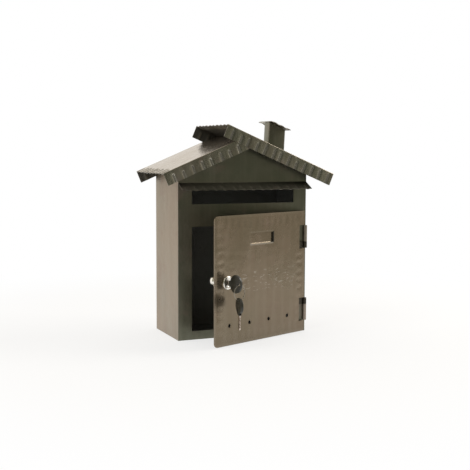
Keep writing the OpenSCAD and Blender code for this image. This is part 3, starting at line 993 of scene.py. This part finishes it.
@dataclass
class Box:
    """The folded box, its gable with the drip hood, and the chimney."""

    lines: RoofLines
    grid: float = 0.002
    sheet: float = 0.0008
    hood_drop: float = 0.0113
    bend: float = 0.002
    fold: float = 0.0014
    lean: float = math.radians(3)
    tube_corner: float = 0.0022
    hem: float = 0.0011
    cap_wave: float = 0.0011
    # Painted shade on the walls, more towards the top.
    painted_shade: float = 0.32
    # Painted shade on the drip hood.
    hood_painted_shade: float = 0.48
    cap_pitch: float = 0.0145
    hem_reach: float = 0.0035

    def build(self) -> None:
        """Builds and dresses the box's pieces."""
        dress(Finish.INSIDE, "box_paint", "floor_pan")
        # The front panel takes the darker copy of the wall paint: painted shade.
        dress(Finish.GRAPHITE, "box_paint", "front_panel")
        dress(Finish.HINGE, "door_paint", "upper_box_leaf", "lower_box_leaf")
        self.wrap()
        self.gable_hood()
        self.chimney_tube()
        self.chimney_cap()

    def wrap(self) -> None:
        """Rounds the folds at the back and coats the inside darker."""
        low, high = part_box("body_wrap")
        work = Bench.copy_of("body_wrap_folded", "body_wrap")

        def back_fold(edge: bmesh.types.BMEdge) -> bool:
            """Says whether an edge is one of the folds' outer edges."""
            ends = [vertex.co for vertex in edge.verts]
            return all(near(abs(end.x), high.x) and near(end.y, high.y) for end in ends)

        work.pick_edges(back_fold)
        work.bevel(self.fold, 4)
        half = self.sheet / 2

        def inner(place: Vector) -> bool:
            """Says whether a face is one of the inside."""
            return low.x + half < place.x < high.x - half and place.y < high.y - half

        work.pick(inner, "FACE")
        work.coat(1)
        tall = high.z - low.z
        # Painted shade: the walls are darkened more and more towards the top.
        work.record("shade_and_soil", lambda place: self.painted_shade * (place.z - low.z) / tall)
        work.done("box", "box_paint", Finish.WALL.made, "body_wrap", coats=(Finish.INSIDE.made,))

    def gable_hood(self) -> None:
        """Bends the gable sheet out into the drip hood and hammers its lip."""
        low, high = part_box("gable_hood")
        face_y = high.y - self.sheet
        reach = high.y - low.y
        angle = math.atan2(self.hood_drop, reach)
        thick = self.sheet / math.cos(angle)
        out = Vector((0, math.cos(angle), math.sin(angle)))
        square = Vector((0, -math.sin(angle), math.cos(angle)))
        lip = Vector((low.x, low.y, low.z + thick))
        # The bend's middle lies before the gable and above the hood
        turn = math.radians(90) - angle
        tangent = self.bend * math.tan(turn / 2)
        flat = (face_y - lip.y) / math.cos(angle)
        start = lip + out * (flat - tangent)
        work = Bench.point("gable_hood_beaten", lip)
        work.extrude(start - lip, round(flat / self.grid))
        work.spin(turn, start + square * self.bend, RIGHT, 5)
        foot_z = start.z + tangent * math.sin(angle) + tangent
        work.extrude(UP * (high.z - foot_z), 4)
        work.all()
        work.extrude(RIGHT * (high.x - low.x), round((high.x - low.x) / self.grid))
        work.face_out(Vector((0, face_y, high.z - 0.02)), -BACK)
        rest = work.places()
        lip_hammer = Hammer(depth=0.0013, length=0.010, seed=21)
        lip_hammer.row(work, lip, lip + RIGHT * (high.x - low.x), out, -square)
        work.record_depth("beaten", rest, lip_hammer.depth)
        bend_z = start.z + tangent
        # Painted shade: the hood below the bend is darkened.
        work.record("shade_and_soil", lambda place: self.hood_painted_shade if place.z < bend_z else 0.0)
        work.edit()
        under = self.lines.sheet
        for up in (self.lines.right_up, self.lines.left_up):
            work.bisect(self.lines.ridge - up * under, up)
        work.modifier("SOLIDIFY", thickness=self.sheet, offset=-1.0, use_even_offset=True)
        # The gable and hood take the darker copy of the wall paint: painted shade.
        work.done("box", "roof_paint", Finish.GRAPHITE.made, "gable_hood", smooth=40)

    def chimney_tube(self) -> None:
        """Rounds the corners of the chimney's folded tube."""
        axis = Vector((math.sin(self.lean), 0, math.cos(self.lean)))
        work = Bench.copy_of("chimney_tube_rounded", "chimney_tube")

        def upright(edge: bmesh.types.BMEdge) -> bool:
            """Says whether an edge runs along the tube."""
            way = edge.verts[1].co - edge.verts[0].co
            return way.length > 0.02 and abs(way.normalized().dot(axis)) > 0.999

        work.pick_edges(upright)
        work.bevel(self.tube_corner, 4)
        # The chimney takes the darker copy of the wall paint: painted shade.
        work.done("box", "box_paint", Finish.GRAPHITE.made, "chimney_tube")

    def chimney_cap(self) -> None:
        """Beats the chimney's cap out of a waved strip."""
        low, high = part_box("chimney_cap")
        inverse = self.lines.right.inverted()
        node = frame["nodes"]["chimney_cap"]
        corners = [inverse @ vertex.co for vertex in node.data.vertices]
        x0, x1 = min(c.x for c in corners), max(c.x for c in corners)
        z0 = min(c.z for c in corners)
        steps = round((x1 - x0) / self.grid)

        def wave(x: float) -> float:
            """Returns the strip's height over the tube at a place down the slope."""
            return self.sheet + self.cap_wave * (1 - math.cos(math.tau * (x - x0) / self.cap_pitch)) / 2

        work = Bench.point("chimney_cap_beaten", Vector((x0, low.y, z0 + wave(x0))))
        for number in range(steps):
            x, after = (x0 + (x1 - x0) * share / steps for share in (number, number + 1))
            work.extrude(Vector((after - x, 0, wave(after) - wave(x))))
        work.all()
        work.extrude(BACK * (high.y - low.y), round((high.y - low.y) / self.grid))
        work.face_out(Vector(((x0 + x1) / 2, 0, z0 + self.cap_wave)), UP)
        rest = work.places()
        edge = Hammer(pitch=0.012, depth=0.0010, length=0.009, reach=0.005, slip=0.0013, seed=31)
        for y, inward in ((low.y, BACK), (high.y, -BACK)):
            edge.row(work, Vector((x0, y, z0)), Vector((x1, y, z0)), inward, -UP * 0.6)
        work.record_depth("beaten", rest, edge.depth)
        work.edit()
        rim = self.grid / 4
        work.pick(lambda p: p.y < low.y + rim or p.y > high.y - rim or p.x > x1 - rim)
        work.move(-UP * self.hem, self.hem_reach)
        work.modifier("SOLIDIFY", thickness=self.sheet, offset=-1.0, use_even_offset=True)
        work.place(self.lines.right)
        # The cap takes the fascias' darker copy of the roof paint: painted shade, with painted
        # highlights on its dents.
        work.done("box", "roof_paint", Finish.FASCIA.made, "chimney_cap", smooth=40)


# ---------------------------------------------------------------------------
# Door
# ---------------------------------------------------------------------------


@dataclass
class DoorLeaf:
    """The door sheet: hammered border, card recess, vent holes, lock hole and notches."""

    rest: float = math.radians(21.1)
    sheet: float = 0.001
    grid: float = 0.0016
    hinge_side: float = 0.002
    corner: float = 0.008
    roll: float = 0.0006
    notch_w: float = 0.0153
    notch_gap: float = 0.0008
    card: Vector = field(default_factory=lambda: Vector((0.057, 0.0025, 0.0215)))
    card_down: float = 0.0407
    vents: int = 4
    vent_r: float = 0.0032
    vent_pitch: float = 0.0467
    vent_shift: float = 0.006
    vent_up: float = 0.033
    hole_r: float = 0.0092
    rim: float = 0.0008
    roll_reach: float = 0.007
    row_gap: float = 0.014
    band: Vector = field(default_factory=lambda: Vector((0.066, 0, 0.017)))
    band_from_lock: Vector = field(default_factory=lambda: Vector((0.094, 0, -0.002)))
    splash: float = 0.25
    splash_height: float = 0.65
    vent_dirt: float = 0.7
    vent_dirt_fade: float = 400
    # Painted highlight on the recess's top lip, and rubbed paint with a painted highlight along the
    # rim.
    lip_highlight: float = 0.35
    rim_highlight_and_wear: float = 0.16
    rim_highlight_and_wear_fade: float = 40
    hammer: Hammer = field(default_factory=lambda: Hammer(
        pitch=0.0143, length=0.0075, depth=0.00026, reach=0.0060, slip=0.0014, inset=0.0100, seed=11))

    def __post_init__(self) -> None:
        """Reads the door's size and its lock's place off the frame."""
        low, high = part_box("door_panel")
        hinge = joint_place("door_hinge")
        self.matrix = (Matrix.Translation((hinge.x, hinge.y, 0))
                       @ Matrix.Rotation(self.rest, 4, "Z"))
        self.width = (hinge.y - low.y) / math.sin(self.rest)
        self.low, self.high = low.z, high.z
        lock = self.matrix.inverted() @ joint_place("lock_turn")
        self.lock = Vector((lock.x, 0, lock.z))
        self.card_middle = Vector((-self.width / 2, 0, self.high - self.card_down))

    def build(self) -> None:
        """Builds the door sheet and dresses its straps."""
        work = self.flat_sheet()
        self.press_card(work)
        rest = work.places()
        self.beat_border(work)
        work.record_depth("beaten", rest, self.hammer.depth)
        work.record("rubbed", self.label_wear)
        work.record("edge_highlight_and_wear", self.edge_highlight_and_wear_share)
        work.record("shade_and_soil", self.shade_and_soil)
        work.modifier("SOLIDIFY", thickness=self.sheet, offset=-1.0, use_even_offset=True)
        work.cut(self.cutters())
        work.place(self.matrix)
        work.done("door", "door_paint", Finish.BRONZE.made, "door_panel", smooth=50)
        # The straps take a near-black coat: painted shade in the hinge notches.
        dress(Finish.STRAP, "door_paint", "upper_door_strap", "lower_door_strap")

    def flat_sheet(self) -> Bench:
        """Returns the flat door sheet as a grid, with its front at Y 0."""
        wide, tall = self.width - self.hinge_side, self.high - self.low
        work = Bench.point("door_leaf", Vector((-self.width, 0, self.low)))
        work.extrude(UP * tall, round(tall / self.grid))
        work.all()
        work.extrude(RIGHT * wide, round(wide / self.grid))
        work.face_out(Vector((-self.width / 2, 0, self.high / 2)), -BACK)
        return work

    def press_card(self, work: Bench) -> None:
        """Presses the card recess, with walls as wide as it is deep."""
        depth = self.card.y
        for inset in (0.0, depth):
            for way, size in ((RIGHT, self.card.x), (UP, self.card.z)):
                for side in (-1, 1):
                    at = self.card_middle + way * side * (size / 2 - inset)
                    work.bisect(at, way, clear=False)
        half_x, half_z = self.card.x / 2 - depth, self.card.z / 2 - depth
        margin = 1e-5

        def in_bed(place: Vector) -> bool:
            """Says whether a vertex lies on the recess's bed."""
            away = place - self.card_middle
            return abs(away.x) < half_x + margin and abs(away.z) < half_z + margin

        work.pick(in_bed)
        work.move(BACK * depth)

    def beat_border(self, work: Bench) -> None:
        """Rolls the edge back a little and hammers a row of dents along each side."""
        x0, x1 = -self.width, -self.hinge_side
        z0, z1 = self.low, self.high
        rim, gap = self.rim, self.row_gap
        work.pick(lambda p: p.x < x0 + rim or p.z < z0 + rim or p.z > z1 - rim)
        work.move(BACK * self.roll, self.roll_reach)
        rows = (
            (Vector((x0, 0, z0 + gap)), Vector((x0, 0, z1 - gap)), RIGHT),
            (Vector((x1, 0, z0 + gap)), Vector((x1, 0, z1 - gap)), -RIGHT),
            (Vector((x0 + gap, 0, z1)), Vector((x1 - gap, 0, z1)), -UP),
            (Vector((x0 + gap, 0, z0)), Vector((x1 - gap, 0, z0)), UP),
        )
        for start, end, inward in rows:
            self.hammer.row(work, start, end, inward, BACK)

    def label_wear(self, place: Vector) -> float:
        """Returns how rubbed the paint is, most in a bare band right of the lock."""
        shift = self.band_from_lock
        away = place - Vector((self.lock.x + shift.x, 0, self.lock.z + shift.z))
        share = max(abs(away.x) / self.band.x, abs(away.z) / self.band.z)
        return max(0.0, min(1.0, (1.15 - share) / 0.3))

    def edge_highlight_and_wear_share(self, place: Vector) -> float:
        """Returns how pale the sheet's edges are painted: a painted highlight on the recess's bottom
        wall and top lip, and rubbed paint with a painted highlight on the outer rim.
        """
        away = place - self.card_middle
        half_x, half_z = self.card.x / 2, self.card.z / 2
        slope = self.card.y
        across = abs(away.x) < half_x and near(away.z, -half_z + slope / 2, slope * 0.6)
        above = abs(away.x) < half_x and near(away.z, half_z, self.grid / 2)
        rim = min(place.x + self.width, self.high - place.z, place.z - self.low)
        if across:
            return 1.0
        return self.lip_highlight if above else max(0.0, self.rim_highlight_and_wear - rim * self.rim_highlight_and_wear_fade)

    def vent_middles(self) -> list[Vector]:
        """Returns the middles of the vent holes."""
        card_x = self.card_middle.x - self.vent_shift
        return [Vector((card_x + (number - (self.vents - 1) / 2) * self.vent_pitch, 0,
                        self.low + self.vent_up)) for number in range(self.vents)]

    def shade_and_soil(self, place: Vector) -> float:
        """Returns how dark the sheet is made: dirt low down and round the vents, painted shade on the
        recess's side wall.
        """
        away = place - self.card_middle
        slope = self.card.y
        corner = near(away.x, (self.card.x - slope) / 2, slope * 0.6)
        # Painted shade on the recess's right-hand side wall.
        if corner and abs(away.z) < self.card.z / 2 - slope * 0.3:
            return 1.0
        flat = Vector((place.x, 0, place.z))
        gap = min((flat - middle).length for middle in self.vent_middles()) - self.vent_r
        height = self.splash_height * (self.high - self.low)
        splash = self.splash * (1 - (place.z - self.low) / height)
        return max(0.0, splash, min(self.vent_dirt, self.vent_dirt - gap * self.vent_dirt_fade))

    def cutters(self) -> Bench:
        """Returns the holes, notches and round corners as solids to cut away."""
        span = 0.012
        tool = rod("door_cutters", self.lock, self.hole_r, span, 56)
        for middle in self.vent_middles():
            tool.join(rod("vent_cutter", middle, self.vent_r, span, 24))
        for level in ("lower", "upper"):
            boxes = [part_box(f"{level}_box_leaf"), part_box(f"{level}_door_strap")]
            z0 = min(box[0].z for box in boxes) - self.notch_gap
            z1 = max(box[1].z for box in boxes) + self.notch_gap
            tool.join(block("notch_cutter", Vector((-self.notch_w, -span, z0)),
                            Vector((span, span, z1))))
        for side, z in ((-1, self.low), (1, self.high)):
            tool.join(self.corner_cutter(side, z, span))
        return tool

    def corner_cutter(self, side: int, z: float, span: float) -> Bench:
        """Returns a block around a free corner, hollowed to the corner's round.

        Args:
            side: 1 at the top and -1 at the bottom.
            z: Height of the corner.
            span: Half the block's length.

        Returns:
            The bench with the solid.
        """
        r, over = self.corner, 0.004
        x = -self.width
        ends = sorted((z + side * over, z - side * r))
        work = block("corner_cutter", Vector((x - over, -span, ends[0])),
                     Vector((x + r, span, ends[1])))
        work.cut(rod("corner_round", Vector((x + r, 0, z - side * r)), r, span * 4, 64))
        return work


# ---------------------------------------------------------------------------
# Lock and keys
# ---------------------------------------------------------------------------


@dataclass
class Lock:
    """The cam lock: threaded barrel with its domed rim, nut, plug, cam and screw."""

    door: DoorLeaf
    rim_r: float = 0.0112
    rim_t: float = 0.0026
    bore_r: float = 0.00605
    barrel_r: float = 0.009
    barrel_len: float = 0.033
    rim_round: float = 0.0022
    dome_share: float = 0.6
    dome_steps: int = 5
    mouth: tuple[float, float] = (0.0005, 0.0003)
    end_bevel: float = 0.0008
    nut_bevel: float = 0.0004
    nut_margin: float = 0.002
    thread_from: float = 0.0045
    thread_to: float = 0.0285
    thread_pitch: float = 0.00125
    thread_depth: float = 0.0006

    def __post_init__(self) -> None:
        """Works out the lock's frame: Z runs into the box."""
        self.matrix = (self.door.matrix @ Matrix.Translation(self.door.lock)
                       @ Matrix.Rotation(math.radians(-90), 4, "X"))

    def profile(self) -> list[tuple[float, float]]:
        """Returns the barrel's section, as radius and depth of its corners."""
        dome = self.rim_t * self.dome_share
        ring = self.rim_r - self.rim_round
        wide, deep = self.mouth
        corners = [(self.bore_r, -self.rim_t + deep), (self.bore_r + wide, -self.rim_t)]
        for number in range(self.dome_steps + 1):
            turn = math.radians(90) * number / self.dome_steps
            corners.append((ring + self.rim_round * math.sin(turn),
                            -self.rim_t + dome * (1 - math.cos(turn))))
        corners += [(self.rim_r, 0.0), (self.barrel_r, 0.0), (self.barrel_r, self.thread_from)]
        turns = round((self.thread_to - self.thread_from) / self.thread_pitch)
        for number in range(turns):
            z = self.thread_from + (number + 0.5) * self.thread_pitch
            corners.append((self.barrel_r - self.thread_depth, z))
            corners.append((self.barrel_r, z + self.thread_pitch / 2))
        bevel, end = self.end_bevel, self.barrel_len
        corners += [(self.barrel_r, end - bevel), (self.barrel_r - bevel, end), (self.bore_r, end)]
        return corners

    def build(self) -> None:
        """Builds the barrel and the nut and dresses the rest."""
        barrel = Bench.lathe("lock_barrel_turned", self.profile(), 64)
        barrel.place(self.matrix)
        barrel.done("door", "bright_metal", Finish.NICKEL.made, "lock_barrel", smooth=35)
        nut = Bench.copy_of("lock_nut_chamfered", "lock_nut")
        axis = self.matrix.to_3x3() @ UP
        middle = self.matrix.translation

        def outer(edge: bmesh.types.BMEdge) -> bool:
            """Says whether an edge is one of the nut's outer ones."""
            place = (edge.verts[0].co + edge.verts[1].co) / 2 - middle
            return (place - axis * place.dot(axis)).length > self.barrel_r + self.nut_margin

        nut.pick_edges(outer)
        nut.bevel(self.nut_bevel, 2)
        nut.done("door", "zinc_metal", Finish.ZINC.made, "lock_nut")
        dress(Finish.NICKEL, "bright_metal", "lock_plug")
        dress(Finish.ZINC, "zinc_metal", "lock_cam", "cam_screw", "upper_hinge_pin",
              "lower_hinge_pin")


@dataclass
class Keys:
    """The key in the lock and the spare one, which hangs from the ring."""

    lock: Lock
    head_w: float = 0.030
    head_l: float = 0.0255
    head_len: float = 0.0285
    head_t: float = 0.0045
    eye_r: float = 0.0026
    eye_edge: float = 0.0048
    neck_w: float = 0.0085
    shoulder: float = 0.004
    rounding: float = 0.0015
    spare_twist: float = math.radians(27)

    def build(self) -> None:
        """Moulds both heads and dresses the blades and the ring."""
        in_lock = self.lock.matrix @ Matrix.Translation((0, 0, -self.shoulder))
        self.head("key_head", "key", in_lock)
        low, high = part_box("spare_key_head")
        eye = (low + high) / 2
        eye.z = high.z - self.eye_edge
        turn = self.lock.door.rest - self.spare_twist
        hanging = (Matrix.Translation(eye) @ Matrix.Rotation(turn, 4, "Z")
                   @ Matrix.Rotation(math.pi, 4, "X")
                   @ Matrix.Translation((0, 0, self.head_len - self.eye_edge)))
        self.head("spare_key_head", "spare_key", hanging)
        dress(Finish.BLADE, "bright_metal", "key_blade", "spare_key_blade")
        dress(Finish.WIRE, "zinc_metal", "key_ring")

    def head(self, node: str, body: str, matrix: Matrix) -> None:
        """Moulds one oval head with its neck and its ring hole. Z runs to the blade.

        Args:
            node: The frame's node that it stands for.
            body: Its body.
            matrix: The key's frame.
        """
        middle = Vector((0, 0, -self.head_len + self.head_l / 2))
        side = (0, math.radians(90), 0)
        work = Bench(f"{node}_moulded", bpy.ops.mesh.primitive_cylinder_add, vertices=72,
                     radius=self.head_w / 2, depth=self.head_t, location=middle, rotation=side)
        work.all()
        work.scale(Vector((1, 1, self.head_l / self.head_w)), middle)
        half = Vector((self.head_t, self.neck_w, 0)) / 2
        neck = block("key_neck", middle - half, half)
        work.cut(neck, "UNION")
        eye = Bench("key_eye", bpy.ops.mesh.primitive_cylinder_add, vertices=36,
                    radius=self.eye_r, depth=self.head_t * 3, rotation=side,
                    location=(0, 0, -self.head_len + self.eye_edge))
        work.cut(eye)
        work.edit()

        def sharp(edge: bmesh.types.BMEdge) -> bool:
            """Says whether an edge stands between a flat side and the head's outline."""
            return len(edge.link_faces) == 2 and edge.calc_face_angle(0.0) > math.radians(60)

        work.all()
        bpy.ops.mesh.remove_doubles(threshold=1e-6)
        bpy.ops.mesh.dissolve_limited(angle_limit=math.radians(1))
        work.pick_edges(sharp)
        work.bevel(self.rounding, 4)
        work.place(matrix)
        work.done(body, "key_plastic", Finish.PLASTIC.made, node, smooth=50)


# ---------------------------------------------------------------------------
# Stage, light and camera
# ---------------------------------------------------------------------------


@dataclass
class Studio:
    """A pale floor, plain soft light and the camera."""

    eye: Vector = field(default_factory=lambda: Vector((-0.6248, -1.4745, 0.3243)))
    yaw: float = 23.26
    pitch: float = -5.47
    roll: float = 0.23
    lens: float = 68.9
    floor_r: float = 0.9
    floor_down: float = 0.0004
    fade_from: float = 0.35
    fade_to: float = 0.855
    fade_share: float = 0.3
    aim: Vector = field(default_factory=lambda: Vector((0, 0, 0.18)))
    mirror_from: float = 0.96

    def camera(self) -> None:
        """Sets up the camera."""
        leave_edit_mode()
        bpy.ops.object.camera_add(location=self.eye)
        camera = bpy.context.object
        camera.name = "camera"
        turn = (Matrix.Rotation(-math.radians(self.yaw), 4, "Z")
                @ Matrix.Rotation(math.radians(90 + self.pitch), 4, "X")
                @ Matrix.Rotation(math.radians(self.roll), 4, "Z"))
        camera.matrix_world = Matrix.Translation(self.eye) @ turn
        camera.data.lens = self.lens
        camera.data.sensor_width = 36.0
        camera.data.clip_start = 0.01
        camera.data.clip_end = 100.0
        bpy.context.scene.camera = camera

    def floor(self) -> None:
        """Lays a pale floor that fades into the background away from the object."""
        work = Bench("studio_floor", bpy.ops.mesh.primitive_circle_add, vertices=96,
                     radius=self.floor_r, fill_type="NGON", location=(0, 0, -self.floor_down))
        leave_edit_mode()
        paper = Surface("studio_paper")
        tree = paper.tree
        distance = paper.node("ShaderNodeVectorMath", {"operation": "LENGTH"}, {0: paper.coords})
        far = Sock(tree, distance.outputs["Value"]).above(self.fade_from, self.fade_to)
        paper.feed("Base Color", (0.9, 0.9, 0.9))
        paper.feed("Roughness", 0.9)
        paper.feed("Specular IOR Level", 0.0)
        glow = paper.node("ShaderNodeEmission", None, {"Color": (1, 1, 1, 1), "Strength": 1.0})
        path = paper.node("ShaderNodeLightPath")
        camera = Sock(tree, path.outputs["Is Camera Ray"])
        mirrored = (Sock(tree, path.outputs["Is Glossy Ray"])
                    + Sock(tree, path.outputs["Is Transmission Ray"]))
        share = (camera + mirrored) * (far * self.fade_share + (1 - self.fade_share))
        mixed = paper.node("ShaderNodeMixShader", None,
                           {0: share, 1: paper.shader.outputs[0], 2: glow.outputs[0]})
        output = next(n for n in tree.nodes if n.type == "OUTPUT_MATERIAL")
        tree.links.new(mixed.outputs[0], output.inputs["Surface"])
        work.obj.data.materials.append(paper.material)

    def world(self) -> None:
        """Surrounds the object with a bright backdrop behind and a dim room in front."""
        world = bpy.data.worlds.new("studio")
        bpy.context.scene.world = world
        world.use_nodes = True
        tree = world.node_tree
        tree.nodes.clear()

        def add(kind: str, **settings: object) -> bpy.types.Node:
            """Adds a node to the world."""
            made = tree.nodes.new(kind)
            for key, value in settings.items():
                setattr(made, key, value)
            return made

        coords = add("ShaderNodeTexCoord")
        axes = add("ShaderNodeSeparateXYZ")
        tree.links.new(coords.outputs["Generated"], axes.inputs[0])
        depth = Sock(tree, axes.outputs["Y"])
        ramp = add("ShaderNodeValToRGB")
        ramp.color_ramp.interpolation = "EASE"
        stops = ((0.0, (0.080, 0.087, 0.068)), (0.028, (0.095, 0.101, 0.080)),
                 (0.06, (0.365, 0.358, 0.285)), (0.13, (0.290, 0.285, 0.230)),
                 (0.42, (0.54, 0.50, 0.445)), (0.7, (1.08, 1.04, 0.97)), (1.0, (1.14, 1.09, 1.02)))
        for place, colour in stops[1:-1]:
            ramp.color_ramp.elements.new(place)
        for element, (place, colour) in zip(ramp.color_ramp.elements, stops):
            element.position = place
            element.color = (*colour, 1.0)
        share = depth * 0.5 + 0.5
        tree.links.new(share.socket, ramp.inputs[0])
        room = add("ShaderNodeBackground")
        tree.links.new(ramp.outputs[0], room.inputs["Color"])
        white = add("ShaderNodeBackground")
        white.inputs["Color"].default_value = (1, 1, 1, 1)
        path = add("ShaderNodeLightPath")
        # Bright metal mirrors the white backdrop where it stands, behind the object
        mirrored = (Sock(tree, path.outputs["Is Glossy Ray"])
                    + Sock(tree, path.outputs["Is Transmission Ray"]))
        camera = Sock(tree, path.outputs["Is Camera Ray"])
        white_share = camera + mirrored * depth.above(self.mirror_from, 1.0)
        mixed = add("ShaderNodeMixShader")
        tree.links.new(white_share.socket, mixed.inputs[0])
        tree.links.new(room.outputs[0], mixed.inputs[1])
        tree.links.new(white.outputs[0], mixed.inputs[2])
        output = add("ShaderNodeOutputWorld")
        tree.links.new(mixed.outputs[0], output.inputs["Surface"])

    def lamp(self, name: str, place: Vector, size: float, power: float,
             colour: Colour = (1.0, 1.0, 1.0)) -> None:
        """Adds a soft lamp that faces the object.

        Args:
            name: Name of the lamp.
            place: Where it stands.
            size: Its width.
            power: Its power in watts.
            colour: Its colour.
        """
        bpy.ops.object.light_add(type="AREA", location=place)
        lamp = bpy.context.object
        lamp.name = name
        lamp.data.shape = "SQUARE"
        lamp.data.size = size
        lamp.data.energy = power
        lamp.data.color = colour
        way = self.aim - place
        lamp.rotation_euler = way.to_track_quat("-Z", "Y").to_euler()

    def build(self) -> None:
        """Sets up the floor, the light and the camera."""
        self.camera()
        self.floor()
        self.world()
        self.lamp("key_light", Vector((2.1, -0.45, 1.5)), 1.2, 30.0, (1.0, 0.97, 0.93))
        self.lamp("fill_light", Vector((-1.7, -0.6, 2.2)), 1.4, 16.0, (0.98, 0.99, 1.0))
        bpy.context.scene.view_settings.view_transform = "Standard"


def main() -> None:
    """Builds the studio and every sub-assembly."""
    logging.basicConfig(level=logging.INFO, format="%(name)s %(message)s")
    Studio().build()
    lines = RoofLines()
    Roof(lines).build()
    Box(lines).build()
    door = DoorLeaf()
    door.build()
    lock = Lock(door)
    lock.build()
    Keys(lock).build()


if __name__ == "__main__":
    main()
